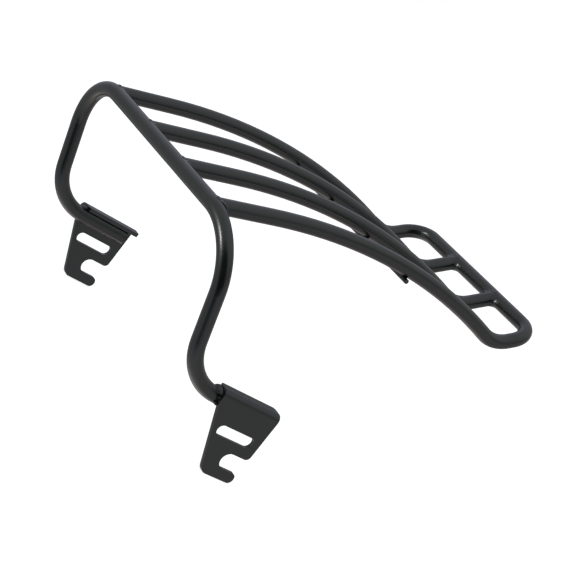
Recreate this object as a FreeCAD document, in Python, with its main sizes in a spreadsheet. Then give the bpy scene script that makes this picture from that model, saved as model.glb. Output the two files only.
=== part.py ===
import FreeCAD, Part
import math
import os
import Sketcher
from FreeCAD import Placement, Rotation, Vector

# Rigid rear luggage rack of bent steel tube for a motorcycle.
# Frame: +X to the front of the motorcycle, +Y to its left, +Z up.
# Origin: middle of the docking bolts' common axis, the centre of the two hook notches.
# All dimensions are in millimetres.

doc = FreeCAD.newDocument("luggage_rack")
sheet = doc.addObject("Spreadsheet::Sheet", "Params")

DIMENSIONS = [
    ("tube_od", 12.7, "outside diameter of every tube"),
    ("tube_wall", 1.6, "wall of every tube"),
    ("hoop_half_width", 139.7, "centre plane to the hoop's legs"),
    ("hoop_run_z", 40.4, "height of the hoop's lower runs"),
    ("hoop_rear_x", -6.3, "rear ends of the hoop's lower runs"),
    ("hoop_heel_x", 76.2, "where a lower run and a leg would meet"),
    ("hoop_top_x", 118.0, "header bar of the hoop"),
    ("hoop_top_z", 154.0, "header bar of the hoop"),
    ("hoop_bend", 48.0, "centreline radius of the hoop's four bends"),
    ("bar_pitch", 63.5, "spacing of the four deck bars"),
    ("bar_gap", 0.6, "setback of a coped tube end from the axis it meets"),
    ("crown_x", -60.3, "where the deck's rising and falling lines meet"),
    ("crown_z", 205.8, "where the deck's rising and falling lines meet"),
    ("crown_bend", 518.0, "centreline radius of the deck's long arch"),
    ("valley_x", -207.3, "where the deck turns up into the tail"),
    ("valley_z", 172.9, "where the deck turns up into the tail"),
    ("valley_bend", 36.5, "centreline radius of that turn"),
    ("rail_x", -242.4, "rear rail"),
    ("rail_z", 198.1, "rear rail"),
    ("rail_bend", 21.3, "centreline radius of the rear rail's two corners"),
    ("plate_thick", 3.5, "side plate sheet"),
    ("plate_rear_x", -16.3, "rear edge of a side plate"),
    ("plate_front_x", 43.9, "front edge of a side plate at its flange"),
    ("plate_knee_z", 39.8, "where the front edge starts to slant"),
    ("plate_toe_x", 15.9, "front edge of a side plate at its bottom"),
    ("plate_base_z", -16.2, "bottom edge of a side plate"),
    ("flange_bend", 2.0, "inner radius of the bend between a side plate and its flange"),
    ("flange_lip", 3.7, "how far the flange reaches inboard past the tube's axis"),
    ("flange_front_round", 3.5, "front inner corner of the flange"),
    ("flange_rear_round", 2.0, "rear inner corner of the flange"),
    ("toe_round", 8.0, "lower front corner of a side plate"),
    ("heel_round", 4.0, "rear corner above the hook notch"),
    ("tip_round", 4.5, "two corners of the hook's tip"),
    ("notch_width", 14.0, "hook notch, open to the rear"),
    ("slot_width", 9.4, "slot"),
    ("slot_length", 38.3, "slot, over its round ends"),
    ("slot_x", 9.8, "slot centre"),
    ("slot_z", 20.5, "slot centre"),
    ("stay_od", 4.0, "cross stay under the deck"),
    ("stay_x", -76.8, "cross stay"),
    ("stay_half", 101.0, "centre plane to the cross stay's ends"),
    ("weld_size", 1.8, "how far a joint's weld stands off the tubes"),
    ("bead_radius", 2.3, "weld along and around the side plates"),
    ("dot_radius", 2.4, "tack weld of the cross stay"),
]

for row, (alias, value, note) in enumerate(DIMENSIONS, start=1):
    sheet.set("A%d" % row, alias)
    sheet.set("B%d" % row, str(value))
    sheet.set("C%d" % row, note)
    sheet.setAlias("B%d" % row, alias)
doc.recompute()


def dim(alias):
    return float(sheet.get(alias))


R = dim("tube_od") / 2
PLATE_IN = dim("hoop_half_width") + R
BAR_IN = dim("bar_pitch") / 2
BAR_OUT = 3 * BAR_IN
TOP = Vector(dim("hoop_top_x"), 0, dim("hoop_top_z"))
CROWN = Vector(dim("crown_x"), 0, dim("crown_z"))
VALLEY = Vector(dim("valley_x"), 0, dim("valley_z"))
RAIL = Vector(dim("rail_x"), 0, dim("rail_z"))
X, Y, Z = Vector(1, 0, 0), Vector(0, 1, 0), Vector(0, 0, 1)


def at(point, y):
    return Vector(point.x, y, point.z)


def toward(start, end, distance):
    return start + (end - start).normalize() * distance


# ---------------------------------------------------------------- bent tubes

def route(name, corners, bends):
    """Centreline: straight runs joined by tangent arcs. It leaves one plane, so no sketch holds it."""
    edges = []
    start = corners[0]
    for before, corner, after, bend in zip(corners, corners[1:], corners[2:], bends):
        back = (before - corner).normalize()
        ahead = (after - corner).normalize()
        half = back.getAngle(ahead) / 2
        reach = bend / math.tan(half)
        bisector = (back + ahead).normalize()
        middle = corner + bisector * (bend / math.sin(half) - bend)
        arc_start = corner + back * reach
        arc_end = corner + ahead * reach
        edges.append(Part.LineSegment(start, arc_start).toShape())
        edges.append(Part.Arc(arc_start, middle, arc_end).toShape())
        start = arc_end
    edges.append(Part.LineSegment(start, corners[-1]).toShape())
    path = doc.addObject("Part::Feature", name + "_route")
    path.Shape = Part.Wire(edges)
    return path


def swept(name, path, radius):
    """A round profile, its radius bound to the sheet, swept along a route."""
    first = path.Shape.OrderedEdges[0]
    start = first.valueAt(first.FirstParameter)
    heading = first.tangentAt(first.FirstParameter)
    circle = doc.addObject("Part::Circle", name + "_profile")
    circle.setExpression("Radius", radius)
    circle.Placement = Placement(start, Rotation(Z, heading))
    sweep = doc.addObject("Part::Sweep", name)
    sweep.Sections = [circle]
    sweep.Spine = (path, ["Edge%d" % (i + 1) for i in range(len(path.Shape.Edges))])
    sweep.Solid = True
    return sweep


def cut(name, base, tool):
    result = doc.addObject("Part::Cut", name)
    result.Base = base
    result.Tool = tool
    return result


def hollow_tube(name, corners, bends):
    path = route(name, corners, bends)
    skin = swept(name + "_skin", path, "Params.tube_od / 2")
    bore = swept(name + "_bore", path, "Params.tube_od / 2 - Params.tube_wall")
    return cut(name + "_bent", skin, bore)


def rod(name, start, heading, length, radius):
    """Cylinder from a point along a direction; length and radius are expressions."""
    solid = doc.addObject("Part::Cylinder", name)
    solid.setExpression("Radius", radius)
    solid.setExpression("Height", length)
    solid.Placement = Placement(start, Rotation(Z, heading))
    return solid


def make_hoop():
    width = dim("hoop_half_width")
    end = Vector(dim("hoop_rear_x"), 0, dim("hoop_run_z"))
    heel = Vector(dim("hoop_heel_x"), 0, dim("hoop_run_z"))
    left = [at(point, width) for point in (end, heel, TOP)]
    right = [at(point, -width) for point in (TOP, heel, end)]
    hoop = hollow_tube("hoop_tube", left + right, [dim("hoop_bend")] * 4)
    return named(hoop, "hoop_tube")


def core(tube):
    """What a bent tube would fill if it were solid, for coping what meets it."""
    while "skin" not in tube.Name:
        tube = tube.Base
    return tube


def make_loop(hoop):
    start = toward(TOP, CROWN, dim("bar_gap"))
    left = [at(point, BAR_OUT) for point in (start, CROWN, VALLEY, RAIL)]
    right = [at(point, -BAR_OUT) for point in (RAIL, VALLEY, CROWN, start)]
    side = [dim("crown_bend"), dim("valley_bend"), dim("rail_bend")]
    loop = hollow_tube("loop_tube", left + right, side + side[::-1])
    return named(cut("loop_tube_coped", loop, core(hoop)), "loop_tube")


def make_bar(name, y, hoop, loop):
    start = toward(TOP, CROWN, dim("bar_gap"))
    end = toward(RAIL, VALLEY, dim("bar_gap"))
    corners = [at(point, y) for point in (start, CROWN, VALLEY, end)]
    bar = hollow_tube(name, corners, [dim("crown_bend"), dim("valley_bend")])
    front = cut(name + "_front", bar, core(hoop))
    return named(cut(name + "_coped", front, core(loop)), name)


# --------------------------------------------------------------- side plates

def value_of(expression):
    """What an expression on the sheet comes to, for a sketch's first geometry."""
    result = sheet.evalExpression(expression)
    return float(getattr(result, "Value", result))


def sketch_on(body, name, role, offset):
    """Sketch on one of the body's origin planes, moved along its normal."""
    plane = [feature for feature in body.Origin.OriginFeatures if feature.Role == role][0]
    sketch = body.newObject("Sketcher::SketchObject", name)
    sketch.AttachmentSupport = [(plane, "")]
    sketch.MapMode = "FlatFace"
    sketch.setExpression("AttachmentOffset.Base.z", offset)
    return sketch


def joined(sketch, first, first_end, second, second_end):
    sketch.addConstraint(Sketcher.Constraint("Coincident", first, first_end, second, second_end))


def placed(sketch, kind, edge, end, expression):
    """DistanceX or DistanceY of a point from the sketch's origin."""
    index = sketch.addConstraint(Sketcher.Constraint(kind, -1, 1, edge, end, value_of(expression)))
    sketch.setExpression("Constraints[%d]" % index, expression)


def rounded(sketch, edge, expression):
    index = sketch.addConstraint(Sketcher.Constraint("Radius", edge, value_of(expression)))
    sketch.setExpression("Constraints[%d]" % index, expression)


def line(sketch, start, end):
    return sketch.addGeometry(Part.LineSegment(Vector(*start, 0), Vector(*end, 0)), False)


def arc(sketch, centre, radius, start_deg, end_deg):
    circle = Part.Circle(Vector(*centre, 0), Z, radius)
    curve = Part.ArcOfCircle(circle, math.radians(start_deg), math.radians(end_deg))
    return sketch.addGeometry(curve, False)


def polygon(sketch, corners):
    """Closed outline; each corner is a pair of expressions."""
    points = [(value_of(u), value_of(v)) for u, v in corners]
    for start, end in zip(points, points[1:] + points[:1]):
        line(sketch, start, end)
    for i in range(len(points)):
        joined(sketch, i, 2, (i + 1) % len(points), 1)
    for i, (u, v) in enumerate(corners):
        placed(sketch, "DistanceX", i, 1, u)
        placed(sketch, "DistanceY", i, 1, v)


# Centre of the bend between a side plate and its flange.
BEND_Y = "Params.hoop_half_width + Params.tube_od / 2 - Params.flange_bend"
BEND_Z = "Params.hoop_run_z + Params.tube_od / 2 - Params.flange_bend"


def blank_outline(sketch):
    polygon(sketch, [
        ("Params.plate_front_x", BEND_Z),
        ("Params.plate_front_x", "Params.plate_knee_z"),
        ("Params.plate_toe_x", "Params.plate_base_z"),
        ("Params.plate_rear_x", "Params.plate_base_z"),
        ("Params.plate_rear_x", BEND_Z),
    ])


def notch_outline(sketch):
    """Round-ended notch about the origin, open past the rear edge."""
    radius = dim("notch_width") / 2
    mouth = dim("plate_rear_x") - radius
    seat = arc(sketch, (0, 0), radius, -90, 90)
    lower = line(sketch, (mouth, -radius), (0, -radius))
    upper = line(sketch, (0, radius), (mouth, radius))
    close = line(sketch, (mouth, radius), (mouth, -radius))
    joined(sketch, lower, 2, seat, 1)
    joined(sketch, seat, 2, upper, 1)
    joined(sketch, upper, 2, close, 1)
    joined(sketch, close, 2, lower, 1)
    joined(sketch, seat, 3, -1, 1)
    rounded(sketch, seat, "Params.notch_width / 2")
    sketch.addConstraint(Sketcher.Constraint("PointOnObject", seat, 1, -2))
    sketch.addConstraint(Sketcher.Constraint("PointOnObject", seat, 2, -2))
    sketch.addConstraint(Sketcher.Constraint("Horizontal", lower))
    sketch.addConstraint(Sketcher.Constraint("Horizontal", upper))
    placed(sketch, "DistanceX", close, 1, "Params.plate_rear_x - Params.notch_width / 2")
    placed(sketch, "DistanceX", close, 2, "Params.plate_rear_x - Params.notch_width / 2")


def slot_outline(sketch):
    radius = dim("slot_width") / 2
    reach = dim("slot_length") / 2 - radius
    x, z = dim("slot_x"), dim("slot_z")
    front = arc(sketch, (x + reach, z), radius, -90, 90)
    rear = arc(sketch, (x - reach, z), radius, 90, 270)
    top = line(sketch, (x + reach, z + radius), (x - reach, z + radius))
    base = line(sketch, (x - reach, z - radius), (x + reach, z - radius))
    ring = [front, top, rear, base]
    for one, other in zip(ring, ring[1:] + ring[:1]):
        sketch.addConstraint(Sketcher.Constraint("Tangent", one, 2, other, 1))
    rounded(sketch, front, "Params.slot_width / 2")
    rounded(sketch, rear, "Params.slot_width / 2")
    placed(sketch, "DistanceX", front, 3, "Params.slot_x + (Params.slot_length - Params.slot_width) / 2")
    placed(sketch, "DistanceX", rear, 3, "Params.slot_x - (Params.slot_length - Params.slot_width) / 2")
    placed(sketch, "DistanceY", front, 3, "Params.slot_z")
    placed(sketch, "DistanceY", rear, 3, "Params.slot_z")


def flange_profile(sketch):
    """The sheet bent inboard over the tube, touching it on its side and its top."""
    y, z = value_of(BEND_Y), value_of(BEND_Z)
    inner = dim("flange_bend")
    outer = inner + dim("plate_thick")
    lip = dim("hoop_half_width") - dim("flange_lip")
    over = arc(sketch, (y, z), outer, 0, 90)
    under = arc(sketch, (y, z), inner, 0, 90)
    root = line(sketch, (y + inner, z), (y + outer, z))
    top = line(sketch, (y, z + outer), (lip, z + outer))
    edge = line(sketch, (lip, z + outer), (lip, z + inner))
    base = line(sketch, (lip, z + inner), (y, z + inner))
    joined(sketch, root, 2, over, 1)
    joined(sketch, over, 2, top, 1)
    joined(sketch, top, 2, edge, 1)
    joined(sketch, edge, 2, base, 1)
    joined(sketch, base, 2, under, 2)
    joined(sketch, under, 1, root, 1)
    joined(sketch, over, 3, under, 3)
    placed(sketch, "DistanceX", over, 3, BEND_Y)
    placed(sketch, "DistanceY", over, 3, BEND_Z)
    rounded(sketch, over, "Params.flange_bend + Params.plate_thick")
    rounded(sketch, under, "Params.flange_bend")
    placed(sketch, "DistanceY", root, 1, BEND_Z)
    placed(sketch, "DistanceY", root, 2, BEND_Z)
    placed(sketch, "DistanceX", top, 1, BEND_Y)
    placed(sketch, "DistanceX", base, 2, BEND_Y)
    placed(sketch, "DistanceX", edge, 1, "Params.hoop_half_width - Params.flange_lip")
    sketch.addConstraint(Sketcher.Constraint("Horizontal", top))
    sketch.addConstraint(Sketcher.Constraint("Vertical", edge))
    sketch.addConstraint(Sketcher.Constraint("Horizontal", base))


def in_face(x, z):
    """Point of a side plate's mid-plane."""
    return Vector(x, PLATE_IN + dim("plate_thick") / 2, z)


def through_edge(feature, spot):
    """Name of the straight edge that crosses the sheet at this point of its mid-plane."""
    for number, edge in enumerate(feature.Shape.Edges, start=1):
        crosses = abs(edge.Length - dim("plate_thick")) < 0.01
        if crosses and (edge.CenterOfMass - spot).Length < 0.01:
            return "Edge%d" % number
    raise ValueError("no edge at %s" % spot)


def pocket(body, sketch, name):
    cutter = body.newObject("PartDesign::Pocket", name)
    cutter.Profile = sketch
    cutter.Type = "Length"
    cutter.setExpression("Length", "2 * Params.plate_thick")
    cutter.Midplane = True
    sketch.Visibility = False
    return cutter


def fillet(body, feature, corners, name, radius):
    doc.recompute()
    result = body.newObject("PartDesign::Fillet", name)
    result.Base = (feature, [through_edge(feature, corner) for corner in corners])
    result.setExpression("Radius", radius)
    return result


def make_plate():
    body = doc.addObject("PartDesign::Body", "side_plate_left")
    inner = "-(Params.hoop_half_width + Params.tube_od / 2)"
    middle = "-(Params.hoop_half_width + Params.tube_od / 2 + Params.plate_thick / 2)"

    outline = sketch_on(body, "plate_outline", "XZ_Plane", inner)
    blank_outline(outline)
    blank = body.newObject("PartDesign::Pad", "plate_blank")
    blank.Profile = outline
    blank.setExpression("Length", "Params.plate_thick")
    blank.Reversed = True

    notch = sketch_on(body, "hook_notch_outline", "XZ_Plane", middle)
    notch_outline(notch)
    hook = pocket(body, notch, "hook_notch")

    rear, base = dim("plate_rear_x"), dim("plate_base_z")
    half = dim("notch_width") / 2
    toe = fillet(body, hook, [in_face(dim("plate_toe_x"), base)], "toe_corner", "Params.toe_round")
    heel = fillet(body, toe, [in_face(rear, half)], "heel_corner", "Params.heel_round")
    fillet(body, heel, [in_face(rear, base), in_face(rear, -half)], "tip_corners", "Params.tip_round")

    slot = sketch_on(body, "slot_outline", "XZ_Plane", middle)
    slot_outline(slot)
    pocket(body, slot, "slot")

    profile = sketch_on(body, "flange_profile", "YZ_Plane", "Params.plate_rear_x")
    flange_profile(profile)
    flange = body.newObject("PartDesign::Pad", "flange")
    flange.Profile = profile
    flange.setExpression("Length", "Params.plate_front_x - Params.plate_rear_x")
    lip = dim("hoop_half_width") - dim("flange_lip")
    middle_z = dim("hoop_run_z") + R + dim("plate_thick") / 2
    front_corner = Vector(dim("plate_front_x"), lip, middle_z)
    rear_corner = Vector(rear, lip, middle_z)
    eased = fillet(body, flange, [front_corner], "flange_front_corner", "Params.flange_front_round")
    fillet(body, eased, [rear_corner], "flange_rear_corner", "Params.flange_rear_round")
    return body


# --------------------------------------------------------- cross stay, welds

def mirrored(source, label):
    """The same piece on the right-hand side."""
    twin = doc.addObject("Part::Mirroring", label)
    twin.Source = source
    twin.Base = Vector(0, 0, 0)
    twin.Normal = Y
    return named(twin, label)


def deck_height(x):
    """Height of the deck bars' centreline over a point of their long arch."""
    back = (TOP - CROWN).normalize()
    ahead = (VALLEY - CROWN).normalize()
    half = back.getAngle(ahead) / 2
    centre = CROWN + (back + ahead).normalize() * (dim("crown_bend") / math.sin(half))
    return centre.z + math.sqrt(dim("crown_bend") ** 2 - (x - centre.x) ** 2)


def stay_centre(y):
    x = dim("stay_x")
    return Vector(x, y, deck_height(x) - R - dim("stay_od") / 2)


def make_stay():
    start = stay_centre(-dim("stay_half"))
    stay = rod("cross_stay_rod", start, Y, "2 * Params.stay_half", "Params.stay_od / 2")
    return named(stay, "cross_stay")


def joint_weld(label, centre, heading, y, cross):
    """Weld round a bar that meets a cross tube: within weld_size of both, outside both."""
    reach = "Params.tube_od / 2 + 2 * Params.weld_size"
    fat = "Params.tube_od / 2 + Params.weld_size"
    start = at(centre, y - 2 * R)
    around_bar = rod(label + "_around_bar", at(centre, y), heading, reach, fat)
    around_cross = rod(label + "_around_cross", start, Y, "2 * Params.tube_od", fat)
    metal = doc.addObject("Part::Common", label + "_metal")
    metal.Base = around_bar
    metal.Tool = around_cross
    bar = rod(label + "_bar", at(centre, y), heading, "Params.tube_od", "Params.tube_od / 2")
    return named(cut(label + "_ring", cut(label + "_open", metal, bar), core(cross)), label)


def run_core(name):
    """A lower run of the hoop, left side, as a solid rod."""
    start = Vector(dim("hoop_rear_x"), dim("hoop_half_width"), dim("hoop_run_z"))
    return rod(name, start, X, "Params.plate_front_x + Params.tube_od", "Params.tube_od / 2")


def make_front_weld(plate):
    """Bead round the tube where it leaves the front of the flange."""
    label = "plate_front_weld_left"
    ring = doc.addObject("Part::Torus", label + "_bead")
    ring.setExpression("Radius1", "Params.tube_od / 2 + 0.4 * Params.bead_radius")
    ring.setExpression("Radius2", "Params.bead_radius")
    ring.Angle3 = 165
    centre = Vector(dim("plate_front_x"), dim("hoop_half_width"), dim("hoop_run_z"))
    ring.Placement = Placement(centre, Rotation(X, 50) * Rotation(Y, 90))
    outside = cut(label + "_off_tube", ring, run_core(label + "_tube"))
    return named(cut(label + "_off_plate", outside, plate), label)


def make_seam_weld(plate):
    """Bead along the groove between the tube's underside and the plate."""
    label = "plate_seam_weld_left"
    y = PLATE_IN - 0.7 * dim("bead_radius")
    z = dim("hoop_run_z") - 0.88 * R
    start = Vector(dim("hoop_rear_x") + 3, y, z)
    seam = rod(label + "_bead", start, X, "Params.plate_front_x - 2", "Params.bead_radius")
    outside = cut(label + "_off_tube", seam, run_core(label + "_tube"))
    return named(cut(label + "_off_plate", outside, plate), label)


def tack_weld(label, y, bar, stay):
    """Small blob behind the cross stay, in its corner with a deck bar."""
    blob = doc.addObject("Part::Sphere", label + "_blob")
    blob.setExpression("Radius", "Params.dot_radius")
    blob.Placement = Placement(stay_centre(y) - X * dim("dot_radius") + Z * 0.5, Rotation())
    return named(cut(label + "_off_stay", cut(label + "_off_bar", blob, bar), stay), label)


parts = []


def named(obj, label):
    obj.Label = label
    parts.append(obj)
    return obj


hoop_tube = make_hoop()
loop_tube = make_loop(hoop_tube)
bar_left = make_bar("deck_bar_left", BAR_IN, hoop_tube, loop_tube)
bar_right = make_bar("deck_bar_right", -BAR_IN, hoop_tube, loop_tube)
plate_left = named(make_plate(), "side_plate_left")
mirrored(plate_left, "side_plate_right")
cross_stay = make_stay()

falling = (CROWN - TOP).normalize()
rising = (VALLEY - RAIL).normalize()
joint_weld("header_weld_outer_left", TOP, falling, BAR_OUT, hoop_tube)
joint_weld("header_weld_inner_left", TOP, falling, BAR_IN, hoop_tube)
joint_weld("header_weld_inner_right", TOP, falling, -BAR_IN, hoop_tube)
joint_weld("header_weld_outer_right", TOP, falling, -BAR_OUT, hoop_tube)
joint_weld("rail_weld_left", RAIL, rising, BAR_IN, loop_tube)
joint_weld("rail_weld_right", RAIL, rising, -BAR_IN, loop_tube)

mirrored(make_front_weld(plate_left), "plate_front_weld_right")
mirrored(make_seam_weld(plate_left), "plate_seam_weld_right")
tack_weld("stay_weld_outer_left", BAR_OUT, loop_tube, cross_stay)
tack_weld("stay_weld_inner_left", BAR_IN, bar_left, cross_stay)
tack_weld("stay_weld_inner_right", -BAR_IN, bar_right, cross_stay)
tack_weld("stay_weld_outer_right", -BAR_OUT, loop_tube, cross_stay)

doc.recompute()
for obj in doc.Objects:
    if "Invalid" in obj.State or "Error" in obj.State:
        raise RuntimeError("%s did not build: %s" % (obj.Label, obj.State))
os.makedirs("parts", exist_ok=True)
for obj in parts:
    shape = obj.Shape
    if shape.isNull() or not shape.isValid() or len(shape.Solids) != 1:
        raise RuntimeError("%s is not one valid solid" % obj.Label)
    print("%-26s %10.1f mm3" % (obj.Label, shape.Volume))
for obj in parts:
    obj.Shape.exportStep("parts/%s.step" % obj.Label)
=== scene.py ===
import math

import bmesh
import bpy
from mathutils import Matrix, Vector, noise


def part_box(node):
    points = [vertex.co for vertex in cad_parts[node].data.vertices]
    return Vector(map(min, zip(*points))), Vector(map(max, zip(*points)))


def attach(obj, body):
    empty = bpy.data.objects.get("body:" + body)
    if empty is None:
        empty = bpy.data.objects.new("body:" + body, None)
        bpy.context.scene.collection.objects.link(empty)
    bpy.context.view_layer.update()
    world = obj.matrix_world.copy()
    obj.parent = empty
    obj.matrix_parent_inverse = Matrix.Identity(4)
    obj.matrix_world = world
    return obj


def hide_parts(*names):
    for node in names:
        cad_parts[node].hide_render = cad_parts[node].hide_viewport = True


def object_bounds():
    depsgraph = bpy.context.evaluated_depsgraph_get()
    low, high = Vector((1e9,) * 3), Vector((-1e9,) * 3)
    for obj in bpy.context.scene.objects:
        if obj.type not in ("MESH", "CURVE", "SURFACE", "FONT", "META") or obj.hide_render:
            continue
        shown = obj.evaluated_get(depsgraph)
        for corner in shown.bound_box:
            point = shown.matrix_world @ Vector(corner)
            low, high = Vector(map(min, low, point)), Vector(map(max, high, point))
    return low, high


# Rear luggage rack of bent steel tube, in metres: +X front, +Y left, +Z up, origin on the docking axis.
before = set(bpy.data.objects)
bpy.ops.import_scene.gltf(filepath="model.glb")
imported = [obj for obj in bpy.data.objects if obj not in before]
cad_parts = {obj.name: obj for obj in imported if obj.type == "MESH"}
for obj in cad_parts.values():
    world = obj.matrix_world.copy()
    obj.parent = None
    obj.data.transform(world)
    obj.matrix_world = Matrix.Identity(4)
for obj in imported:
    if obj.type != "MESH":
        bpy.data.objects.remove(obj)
cad_low, cad_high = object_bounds()

MM = 0.001
TAU = 2 * math.pi
X_AXIS, Y_AXIS, Z_AXIS = Vector((1, 0, 0)), Vector((0, 1, 0)), Vector((0, 0, 1))

# The rack's own measures, as the CAD has them. HEADER and RAIL are the hoop's top bar and the rear rail,
# and CROWN and VALLEY are the corners of the bars' centre line between them, before bending.
TUBE_RADIUS = 6.35 * MM
HOOP_Y = 139.7 * MM
RUN_Z = 40.4 * MM
BAR_INNER = 31.75 * MM
BAR_OUTER = 95.25 * MM
HEADER = Vector((118.0, 0, 154.0)) * MM
CROWN = Vector((-60.3, 0, 205.8)) * MM
VALLEY = Vector((-207.3, 0, 172.9)) * MM
RAIL = Vector((-242.4, 0, 198.1)) * MM

# Camera: where it stands, its right and up directions, and from those the direction back to it.
CAMERA_AT = Vector((0.85447, 1.04488, 0.34476))
CAMERA_RIGHT = Vector((-0.65934, 0.44158, 0.60850))
CAMERA_UP = Vector((0.37632, -0.50684, 0.77556))
CAMERA_BACK = CAMERA_RIGHT.cross(CAMERA_UP).normalized()
LENS_MM = 107.49
SENSOR_MM = 36

# Upward normal, in the rack's frame, of the table that the photographed rack lies on.
TABLE_UP = Vector((0.661, 0, 0.75)).normalized()


# ------------------------------------------------------------------ materials

# Textures per metre: slow clouds of shade, the orange peel, and the powder's own grain.
CLOUD_SCALE = 38
PEEL_SCALE = 520
GRAIN_SCALE = 2600
GRAIN_SHARE = 0.12              # height of the grain, as a share of the peel's
GLOSS_SPREAD = 0.03             # how far the roughness wanders either way
COAT_IOR = 1.58


def node_material(name):
    """A new node material, with its node tree and Principled shader."""
    material = bpy.data.materials.new(name)
    material.use_nodes = True
    shader = material.node_tree.nodes["Principled BSDF"]
    return material, material.node_tree, shader


def noise_texture(tree, where, scale, detail, roughness):
    """A noise texture's value."""
    texture = tree.nodes.new("ShaderNodeTexNoise")
    texture.inputs["Scale"].default_value = scale
    texture.inputs["Detail"].default_value = detail
    texture.inputs["Roughness"].default_value = roughness
    tree.links.new(where, texture.inputs["Vector"])
    return texture.outputs["Fac"]


def remap(tree, value, low, high):
    """A texture's usual 0.3 to 0.7 spread over another range."""
    node = tree.nodes.new("ShaderNodeMapRange")
    node.inputs["From Min"].default_value = 0.3
    node.inputs["From Max"].default_value = 0.7
    node.inputs["To Min"].default_value = low
    node.inputs["To Max"].default_value = high
    tree.links.new(value, node.inputs["Value"])
    return node.outputs["Result"]


def bump(tree, height, distance, before=None):
    """A bumped normal, on top of an earlier one if there is one."""
    node = tree.nodes.new("ShaderNodeBump")
    node.inputs["Distance"].default_value = distance
    node.inputs["Strength"].default_value = 1.0
    tree.links.new(height, node.inputs["Height"])
    if before is not None:
        tree.links.new(before, node.inputs["Normal"])
    return node.outputs["Normal"]


def coat_material(name, dark, light, roughness, peel):
    """Powder coat: near-black, slightly uneven in shade and gloss, with orange peel of a height in metres."""
    material, tree, shader = node_material(name)
    where = tree.nodes.new("ShaderNodeTexCoord").outputs["Object"]
    clouds = noise_texture(tree, where, CLOUD_SCALE, 4, 0.55)
    grains = noise_texture(tree, where, GRAIN_SCALE, 2, 0.6)
    skin = noise_texture(tree, where, PEEL_SCALE, 2, 0.45)

    shade = tree.nodes.new("ShaderNodeMix")
    shade.data_type = "RGBA"
    shade.inputs["A"].default_value = (*dark, 1)
    shade.inputs["B"].default_value = (*light, 1)
    total = tree.nodes.new("ShaderNodeMath")
    total.operation = "ADD"
    tree.links.new(remap(tree, grains, 0, 0.5), total.inputs[0])
    tree.links.new(remap(tree, clouds, 0, 0.5), total.inputs[1])
    tree.links.new(total.outputs["Value"], shade.inputs["Factor"])
    tree.links.new(shade.outputs["Result"], shader.inputs["Base Color"])

    gloss = remap(tree, clouds, roughness - GLOSS_SPREAD, roughness + GLOSS_SPREAD)
    tree.links.new(gloss, shader.inputs["Roughness"])
    coarse = bump(tree, skin, peel)
    fine = bump(tree, grains, peel * GRAIN_SHARE, coarse)
    tree.links.new(fine, shader.inputs["Normal"])
    shader.inputs["IOR"].default_value = COAT_IOR
    return material


tube_coat = coat_material("tube_coat", (0.0065, 0.0065, 0.0068), (0.012, 0.012, 0.0123), 0.26, 0.012 * MM)
plate_coat = coat_material("plate_coat", (0.0065, 0.0067, 0.007), (0.012, 0.0123, 0.0127), 0.28, 0.018 * MM)
weld_coat = coat_material("weld_coat", (0.005, 0.005, 0.0052), (0.010, 0.010, 0.0102), 0.22, 0.03 * MM)


def coat_of(name):
    """The coat that a CAD node gets."""
    if name.startswith("side_plate"):
        return plate_coat
    return weld_coat if "weld" in name else tube_coat


for name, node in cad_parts.items():
    for slot in node.material_slots:
        slot.material = coat_of(name)


# ---------------------------------------------------------------- soft edges

SHARP_EDGE = math.radians(40)
JOIN_WITHIN = 0.001 * MM


def soften(node, width):
    """Coated edges are a little round: joins the split vertices, bevels and evens the shading."""
    join = node.modifiers.new("join", "WELD")
    join.merge_threshold = JOIN_WITHIN
    bevel = node.modifiers.new("round_edges", "BEVEL")
    bevel.width = width
    bevel.segments = 3
    bevel.limit_method = "ANGLE"
    bevel.angle_limit = SHARP_EDGE
    bevel.use_clamp_overlap = True
    even = node.modifiers.new("even_shading", "WEIGHTED_NORMAL")
    even.keep_sharp = False


for side in ("left", "right"):
    soften(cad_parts["side_plate_" + side], 0.45 * MM)
soften(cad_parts["cross_stay"], 0.3 * MM)


# -------------------------------------------------------------- weld meshes

def smooth_piece(name, mesh, replaced):
    """A smooth-shaded weld on the rack's one body, shown in place of CAD nodes."""
    for face in mesh.polygons:
        face.use_smooth = True
    piece = bpy.data.objects.new(name, mesh)
    bpy.context.scene.collection.objects.link(piece)
    mesh.materials.append(weld_coat)
    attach(piece, "root")
    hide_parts(*replaced)


def strip_piece(name, sections, closed, replaced):
    """A solid strip through a row of sections of equal length: a closed ring, or capped at both ends."""
    mesh = bmesh.new()
    rings = [[mesh.verts.new(point) for point in section] for section in sections]
    size = len(sections[0])
    for i in range(len(rings) if closed else len(rings) - 1):
        one, other = rings[i], rings[(i + 1) % len(rings)]
        for k in range(size):
            after = (k + 1) % size
            mesh.faces.new((one[k], one[after], other[after], other[k]))
    if not closed:
        mesh.faces.new(rings[0][::-1])
        mesh.faces.new(rings[-1])
    bmesh.ops.recalc_face_normals(mesh, faces=mesh.faces[:])
    data = bpy.data.meshes.new(name)
    mesh.to_mesh(data)
    mesh.free()
    smooth_piece(name, data, replaced)


def scale_height(travelled, pitch, skew, mean):
    """Height of a weld's scales along its line, less its mean: each rises slowly and drops at its edge."""
    return ((travelled / pitch + skew) % 1.0) ** 2 - mean


def curve_between(start, control, end, steps):
    """Points of the quadratic curve from start to end."""
    points = []
    for i in range(steps + 1):
        part = i / steps
        points.append(start * (1 - part) ** 2 + control * (2 * part * (1 - part)) + end * part ** 2)
    return points


# --------------------------------------------------------------- round beads

BEAD_SIDES = 20
BEAD_SKEW = 0.35                # how far the scales lean round the bead
BEAD_SWELL = 0.12               # height of the scales, as a share of the bead's radius
BEAD_LUMP = 0.16                # height of the lumps, as a share of the bead's radius
BEAD_LUMP_SIZE = 3.2 * MM
BEAD_PITCH = 1.7 * MM           # length of one scale
BEAD_MEAN = 0.33


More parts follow.
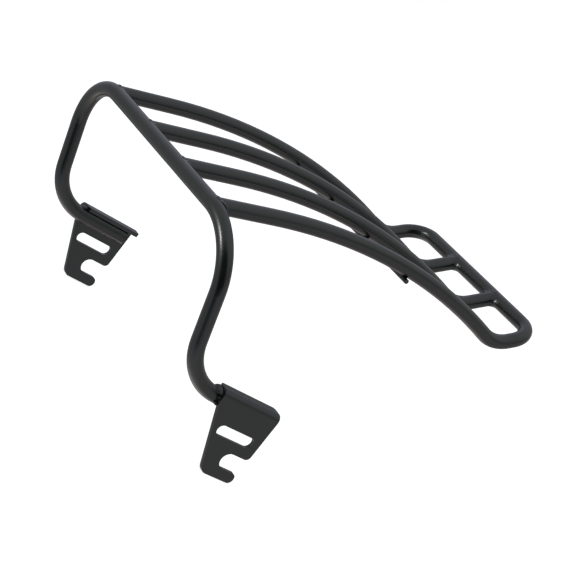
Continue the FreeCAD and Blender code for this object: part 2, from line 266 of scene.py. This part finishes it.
def swept_bead(name, points, sizes, pitch, replaced):
    """A round welded bead along a level line of points, its scales lying over each other."""
    sections = []
    travelled = 0.0
    last = len(points) - 1
    for i, (point, size) in enumerate(zip(points, sizes)):
        ahead = points[min(i + 1, last)]
        behind = points[max(i - 1, 0)]
        travelled += (point - behind).length
        heading = (ahead - behind).normalized()
        side = heading.cross(Z_AXIS).normalized()
        up = side.cross(heading)
        section = []
        for k in range(BEAD_SIDES):
            turn = TAU * k / BEAD_SIDES
            outward = side * math.cos(turn) + up * math.sin(turn)
            swell = BEAD_SWELL * scale_height(travelled, pitch, BEAD_SKEW * math.sin(turn), BEAD_MEAN)
            lump = BEAD_LUMP * noise.noise((point + outward * size) / BEAD_LUMP_SIZE)
            section.append(point + outward * size * (1 + swell + lump))
        sections.append(section)
    strip_piece(name, sections, False, replaced)


def seam_bead(side):
    """Bead in the groove between a tube's underside and its plate."""
    steps = 160
    inset = 1.5 * MM
    thin, thick = 1.2 * MM, 1.9 * MM
    taper = 12                  # the ends taper over one part in this many
    low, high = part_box("plate_seam_weld_" + side)
    centre = (low + high) / 2
    points, sizes = [], []
    for i in range(steps):
        part = i / (steps - 1)
        x = low.x + inset + (high.x - low.x - 2 * inset) * part
        points.append(Vector((x, centre.y, centre.z)))
        sizes.append(thin + (thick - thin) * min(1.0, taper * part, taper * (1 - part)))
    swept_bead("plate_seam_bead_" + side, points, sizes, BEAD_PITCH, ["plate_seam_weld_" + side])


def stay_tack(name, y):
    """Short bead behind the cross stay where it lies against a bar."""
    steps = 36
    length = 5.0 * MM
    to_right = 0.62             # share of its length that lies to the right of the bar's middle
    pitch = 1.5 * MM
    thin, thick = 0.35 * MM, 0.85 * MM
    low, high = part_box("cross_stay")
    x = low.x + 0.2 * MM
    z = high.z - 0.4 * MM
    points, sizes = [], []
    for i in range(steps):
        part = i / (steps - 1)
        points.append(Vector((x, y + (part - to_right) * length, z)))
        sizes.append(thin + (thick - thin) * math.sin(math.pi * part) ** 0.6)
    swept_bead("stay_bead_" + name, points, sizes, pitch, ["stay_weld_" + name])


# -------------------------------------------------------------- saddle welds

SADDLE_STEPS = 240              # sections round the bar
SKIN_STEPS = 14                 # points from the bar to the cross tube
SADDLE_SOFTNESS = 0.02          # rounds the saddle line where it turns above and below the bar
SADDLE_FULLNESS = 0.7 * MM      # how far the weld's face lies out of the corner it fills
SADDLE_UNEVEN = 0.3 * MM        # height of its scales, and how far its edges wander
SKIN_MEAN = 0.4
WELD_DEPTH = 0.9 * MM           # how far a weld's hidden side lies inside the tubes
CORNER_DEPTH = 0.4 * MM         # and how much further back its corner lies

# A small crater in a weld: a low rim round a deep pit, as heights and radii.
RIM_HEIGHT, RIM_RADIUS = 0.3 * MM, 1.7 * MM
PIT_DEPTH, PIT_RADIUS = 1.3 * MM, 0.75 * MM
CRATER_PLACE = 0.2              # how far it sits from the bar towards the cross tube
CRATER_TURN = math.radians(3)   # its angle round the bar, from the outboard side
SKIN_LENGTH = 1.4               # length of the weld's face, as a multiple of its leg


def crater_height(turn, place, leg):
    """Height that the crater adds to a weld's face, at an angle round the bar and a place across the weld."""
    off = math.hypot((turn - CRATER_TURN) * TUBE_RADIUS, (place - CRATER_PLACE) * leg * SKIN_LENGTH)
    rim = RIM_HEIGHT * math.exp(-(off / RIM_RADIUS) ** 2)
    return rim - PIT_DEPTH * math.exp(-(off / PIT_RADIUS) ** 2)


def saddle_weld(name, centre, heading, y, side_leg, top_leg, cratered=False):
    """Concave weld round the saddle line where a bar runs square into a cross tube of its own size.

    It reaches side_leg along the tubes at the bar's sides, and top_leg above and below the bar.
    """
    lift = heading.cross(Y_AXIS).normalized()
    joint = Vector((centre.x, y, centre.z))
    sections = []
    for i in range(SADDLE_STEPS):
        turn = TAU * i / SADDLE_STEPS
        aside, above = math.cos(turn), math.sin(turn)
        radial = Y_AXIS * aside + lift * above
        reach = TUBE_RADIUS * math.sqrt(aside * aside + SADDLE_SOFTNESS)
        leg = top_leg + (side_leg - top_leg) * aside * aside
        leg += SADDLE_UNEVEN * noise.noise(radial * 2.3 + joint * 40)
        on_bar = joint + heading * (reach + leg) + radial * TUBE_RADIUS
        seat = joint + heading * reach + radial * TUBE_RADIUS
        wrap = math.asin(max(-1.0, min(1.0, above))) + leg * above / TUBE_RADIUS
        on_cross = joint + heading * (TUBE_RADIUS * math.cos(wrap)) + lift * (TUBE_RADIUS * math.sin(wrap))
        on_cross += Y_AXIS * (aside * (TUBE_RADIUS + leg))

        outward = (radial + heading * abs(aside)).normalized()
        swell = SADDLE_UNEVEN * scale_height(TUBE_RADIUS * turn, BEAD_PITCH, 0.0, SKIN_MEAN)
        skin = curve_between(on_bar, seat + outward * SADDLE_FULLNESS, on_cross, SKIN_STEPS)
        for k in range(1, SKIN_STEPS):
            place = k / SKIN_STEPS
            skin[k] += outward * swell * math.sin(math.pi * place)
            if cratered:
                skin[k] += outward * crater_height(turn, place, leg)

        cross_axis = Vector((joint.x, on_cross.y, joint.z))
        deep_cross = on_cross + (cross_axis - on_cross).normalized() * WELD_DEPTH
        deep_seat = seat - radial * WELD_DEPTH - heading * CORNER_DEPTH
        deep_bar = on_bar - radial * WELD_DEPTH
        sections.append(skin + [deep_cross, deep_seat, deep_bar])
    strip_piece(name.replace("weld", "fillet"), sections, True, [name])


# --------------------------------------------------------------- front welds

FRONT_STEPS = 70
FRONT_SKIN = 8                  # steps from the weld's toe on the tube to its top on the flange
FRONT_START = 8                 # degrees round the tube, from its outboard side
FRONT_SPAN = 100
FRONT_BULGE = 0.5 * MM          # height of its scales
FRONT_LEG = 3.4 * MM            # how far it reaches along the tube where it starts
FRONT_LEG_MORE = 1.4 * MM       # and how much further once it is full
FRONT_UNEVEN = 0.5 * MM         # how far its edge wanders
FRONT_ROOT = 1.5 * MM           # how far its hidden side lies behind the flange's front end

TACK_STEPS = 40
TACK_TURN = math.radians(-32)   # its place round the tube, below the outboard side
TACK_PITCH = 1.6 * MM


def round_tube(sign, turn):
    """Direction out of a hoop tube's lower run: 0 is outboard and a quarter turn is up."""
    return Y_AXIS * (sign * math.cos(turn)) + Z_AXIS * math.sin(turn)


def front_weld(side, sign):
    """Weld that fills the step from the tube up to the front end of a side plate's flange."""
    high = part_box("side_plate_" + side)[1]
    step = high.z - RUN_Z - TUBE_RADIUS
    axis_point = Vector((high.x, sign * HOOP_Y, RUN_Z))
    root_point = axis_point - X_AXIS * FRONT_ROOT
    sections = []
    for i in range(FRONT_STEPS):
        part = i / (FRONT_STEPS - 1)
        turn = math.radians(FRONT_START + FRONT_SPAN * part)
        across = round_tube(sign, turn)
        fade = math.sin(math.pi * min(1.0, 0.12 + part * 1.6) / 2)
        bulge = FRONT_BULGE * scale_height(TUBE_RADIUS * turn * 0.75, BEAD_PITCH, 0.2, SKIN_MEAN) * fade
        leg = FRONT_LEG + FRONT_LEG_MORE * fade + FRONT_UNEVEN * noise.noise(across * 2.0)
        rise = step * (0.5 + 0.4 * fade - 0.25 * part)

        toe = axis_point + X_AXIS * leg + across * TUBE_RADIUS
        middle = axis_point + X_AXIS * leg * 0.62 + across * (TUBE_RADIUS + rise * 0.85)
        top = axis_point + across * (TUBE_RADIUS + rise)
        skin = curve_between(toe, middle, top, FRONT_SKIN)
        for k in range(1, FRONT_SKIN + 1):
            skin[k] += (across + X_AXIS).normalized() * bulge * math.sin(math.pi * k / (FRONT_SKIN + 1))
        deep_top = root_point + across * (TUBE_RADIUS + rise * 0.8)
        deep_root = root_point + across * (TUBE_RADIUS - WELD_DEPTH)
        deep_toe = axis_point + X_AXIS * leg * 0.8 + across * (TUBE_RADIUS - WELD_DEPTH)
        sections.append(skin + [deep_top, deep_root, deep_toe])
    strip_piece("plate_front_fillet_" + side, sections, False, ["plate_front_weld_" + side])


def front_tack(side, sign):
    """Short second tack below the front weld, lying along the tube and just past the plate's front edge."""
    start, length = 5.0 * MM, 6.0 * MM
    thin, thick = 0.7 * MM, 1.7 * MM
    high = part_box("side_plate_" + side)[1]
    beside = round_tube(sign, TACK_TURN) * (TUBE_RADIUS + 0.5 * MM)
    points, sizes = [], []
    for i in range(TACK_STEPS):
        part = i / (TACK_STEPS - 1)
        points.append(Vector((high.x - start + length * part, sign * HOOP_Y, RUN_Z)) + beside)
        sizes.append(thin + (thick - thin) * math.sin(math.pi * part) ** 0.5)
    swept_bead("plate_front_tack_" + side, points, sizes, TACK_PITCH, ["plate_front_weld_" + side])


# ------------------------------------------------------------ all the welds

to_crown = (CROWN - HEADER).normalized()
to_valley = (VALLEY - RAIL).normalized()
header_joints = (
    ("outer_left", BAR_OUTER),
    ("inner_left", BAR_INNER),
    ("inner_right", -BAR_INNER),
    ("outer_right", -BAR_OUTER),
)
for name, y in header_joints:
    saddle_weld("header_weld_" + name, HEADER, to_crown, y, 4.0 * MM, 1.1 * MM, name == "outer_left")
for name, y in (("left", BAR_INNER), ("right", -BAR_INNER)):
    saddle_weld("rail_weld_" + name, RAIL, to_valley, y, 7.0 * MM, 2.4 * MM)
for side, sign in (("left", 1), ("right", -1)):
    front_weld(side, sign)
    front_tack(side, sign)
for side in ("left", "right"):
    seam_bead(side)
for name, y in header_joints:
    stay_tack(name, y)


# ---------------------------------------------------------------- the light

# The tent's walls, as its axes' light: overhead, table, behind the camera, backdrop, right and left.
OVERHEAD, TABLE = (0.62, 0.68, 0.68), (0.41, 0.37, 0.355)
CAMERA_SIDE, BACKDROP = (0.82, 0.88, 0.94), (0.31, 0.30, 0.33)
RIGHT_WALL, LEFT_WALL = (0.50, 0.52, 0.51), (0.44, 0.46, 0.46)

# Soft patches of more light: azimuth, elevation, radius and softness in degrees, then the light.
GLOWS = (
    (-84, 33, 14, 11, (1.5, 1.5, 1.45)),        # the lamp's halo in the tent's side
    (-110, -60, 20, 14, (0.85, 0.82, 0.78)),    # the lamp's light on the table, left of the rack
    (-40, -62, 18, 14, (0.40, 0.38, 0.36)),     # the same nearer the camera
    (-75, -38, 20, 14, (0.24, 0.23, 0.22)),     # and higher up
    (100, 30, 32, 16, (0.18, 0.20, 0.22)),      # the lit wall on the right
    (175, 10, 34, 18, (0.24, 0.27, 0.33)),      # the backdrop's middle
)
LAMP, LAMP_LIGHT = (-75, 41, 7.0, 4.4), (26.0, 26.0, 25.0)

# Patches of less light, placed in the same way, and the share of it that each takes away: the opening
# towards the camera, the seam where table and wall meet at the front right, and some shade behind.
OPENING, OPENING_TAKES = (2, 14, 46, 12), 0.97
SEAM, SEAM_TAKES = (62, -12, 42, 16), 0.42
SHADE, SHADE_TAKES = (168, -20, 9, 6), 0.85
OPENING_FOOT = (-27, -7)                        # elevations between which the opening sets in
SEAM_LOW, SEAM_MIDDLE, SEAM_HIGH = -24, -12, 1  # elevations of the seam's foot, its middle and its top


class World:
    """Shader nodes that work out light from the direction looked in.

    The axes are the photograph's: up from its table, front towards the camera, side to the camera's right.
    """

    def __init__(self, tree):
        self.tree = tree
        self.look = tree.nodes.new("ShaderNodeTexCoord").outputs["Generated"]
        self.up = TABLE_UP
        self.front = (CAMERA_BACK - TABLE_UP * CAMERA_BACK.dot(TABLE_UP)).normalized()
        self.side = TABLE_UP.cross(self.front)

    def operate(self, kind, operation, output, inputs):
        """One node of a kind, with each input linked or set."""
        node = self.tree.nodes.new(kind)
        node.operation = operation
        for name, value in inputs:
            if isinstance(value, bpy.types.NodeSocket):
                self.tree.links.new(value, node.inputs[name])
            else:
                node.inputs[name].default_value = value
        return node.outputs[output]

    def maths(self, operation, one, other=0.0):
        return self.operate("ShaderNodeMath", operation, "Value", ((0, one), (1, other)))

    def along(self, axis):
        """Cosine of the angle between the look and an axis."""
        return self.operate("ShaderNodeVectorMath", "DOT_PRODUCT", "Value", ((0, self.look), (1, axis)))

    def scaled(self, colour, factor):
        return self.operate("ShaderNodeVectorMath", "SCALE", "Vector", ((0, colour), ("Scale", factor)))

    def added(self, one, other):
        return self.operate("ShaderNodeVectorMath", "ADD", "Vector", ((0, one), (1, other)))

    def kept(self, part, taken):
        """What is left of the light where a patch takes a share of it away."""
        return self.maths("SUBTRACT", 1.0, self.maths("MULTIPLY", part, taken))

    def smooth_step(self, value, start, end):
        """0 at start, 1 at end, smooth between; start may be the larger one."""
        node = self.tree.nodes.new("ShaderNodeMapRange")
        node.interpolation_type = "SMOOTHSTEP"
        node.inputs["From Min"].default_value = min(start, end)
        node.inputs["From Max"].default_value = max(start, end)
        node.inputs["To Min"].default_value = 0.0 if start < end else 1.0
        node.inputs["To Max"].default_value = 1.0 if start < end else 0.0
        self.tree.links.new(value, node.inputs["Value"])
        return node.outputs["Result"]

    def rising(self, low, high):
        """0 at one elevation in degrees and 1 at another."""
        heights = [math.sin(math.radians(elevation)) for elevation in (low, high)]
        return self.smooth_step(self.along(self.up), *heights)

    def disc(self, azimuth, elevation, radius, softness):
        """1 within a cone about a direction, falling smoothly to 0 round its edge; all in degrees."""
        azimuth, elevation = math.radians(azimuth), math.radians(elevation)
        level = self.front * math.cos(azimuth) + self.side * math.sin(azimuth)
        direction = level * math.cos(elevation) + self.up * math.sin(elevation)
        angle = self.maths("ARCCOSINE", self.along(direction))
        return self.smooth_step(angle, math.radians(radius + softness), math.radians(radius - softness))


def tent_light(world):
    """Light of a white tent round the rack, open towards the camera, with a lamp shining through its side."""
    walls = (
        (world.up, OVERHEAD), (-world.up, TABLE),
        (world.front, CAMERA_SIDE), (-world.front, BACKDROP),
        (world.side, RIGHT_WALL), (-world.side, LEFT_WALL),
    )
    light = (0.0, 0.0, 0.0)
    for axis, colour in walls:
        facing = world.maths("MAXIMUM", world.along(axis), 0.0)
        light = world.added(light, world.scaled(colour, world.maths("POWER", facing, 2.0)))
    for *patch, colour in GLOWS:
        light = world.added(light, world.scaled(colour, world.disc(*patch)))

    seam = world.maths("MINIMUM", world.rising(SEAM_LOW, SEAM_MIDDLE), world.rising(SEAM_HIGH, SEAM_MIDDLE))
    seam = world.maths("MULTIPLY", seam, world.disc(*SEAM))
    light = world.scaled(light, world.kept(seam, SEAM_TAKES))
    light = world.scaled(light, world.kept(world.disc(*SHADE), SHADE_TAKES))
    opening = world.maths("MULTIPLY", world.disc(*OPENING), world.rising(*OPENING_FOOT))
    light = world.scaled(light, world.kept(opening, OPENING_TAKES))
    return world.added(light, world.scaled(LAMP_LIGHT, world.disc(*LAMP)))


def studio_world():
    """The tent lights the rack, and the camera sees plain white behind it."""
    studio = bpy.data.worlds.new("studio")
    bpy.context.scene.world = studio
    studio.use_nodes = True
    tree = studio.node_tree
    tent = tree.nodes["Background"]
    tree.links.new(tent_light(World(tree)), tent.inputs["Color"])
    white = tree.nodes.new("ShaderNodeBackground")
    white.inputs["Color"].default_value = (1, 1, 1, 1)
    mix = tree.nodes.new("ShaderNodeMixShader")
    tree.links.new(tree.nodes.new("ShaderNodeLightPath").outputs["Is Camera Ray"], mix.inputs["Fac"])
    tree.links.new(tent.outputs["Background"], mix.inputs[1])
    tree.links.new(white.outputs["Background"], mix.inputs[2])
    tree.links.new(mix.outputs["Shader"], tree.nodes["World Output"].inputs["Surface"])


# ---------------------------------------------------------- floor and camera

FLOOR_RADIUS = 30
FLOOR_GAP = 0.3 * MM            # below the hooks' tips, so that the two don't lie in one plane


def make_floor():
    """Wide white floor that doesn't tint or mirror in the rack."""
    mesh = bmesh.new()
    bmesh.ops.create_circle(mesh, cap_ends=True, segments=96, radius=FLOOR_RADIUS)
    data = bpy.data.meshes.new("floor")
    mesh.to_mesh(data)
    mesh.free()
    floor = bpy.data.objects.new("floor", data)
    floor.location = (0, 0, cad_low.z - FLOOR_GAP)
    bpy.context.scene.collection.objects.link(floor)
    material, _, shader = node_material("white_floor")
    shader.inputs["Base Color"].default_value = (0.5, 0.5, 0.5, 1)
    shader.inputs["Roughness"].default_value = 0.9
    shader.inputs["Specular IOR Level"].default_value = 0.0
    shader.inputs["Emission Color"].default_value = (1, 1, 1, 1)
    shader.inputs["Emission Strength"].default_value = 0.85
    data.materials.append(material)
    floor.visible_glossy = False
    floor.visible_diffuse = False


def make_camera():
    """The photograph's camera."""
    camera = bpy.data.objects.new("camera", bpy.data.cameras.new("camera"))
    axes = Matrix((CAMERA_RIGHT, CAMERA_BACK.cross(CAMERA_RIGHT), CAMERA_BACK)).transposed()
    camera.matrix_world = Matrix.Translation(CAMERA_AT) @ axes.to_4x4()
    camera.data.sensor_width = SENSOR_MM
    camera.data.lens = LENS_MM
    camera.data.clip_start = 0.05
    camera.data.clip_end = 100
    bpy.context.scene.collection.objects.link(camera)
    bpy.context.scene.camera = camera


make_camera()
studio_world()
make_floor()
bpy.context.scene.view_settings.view_transform = "Standard"
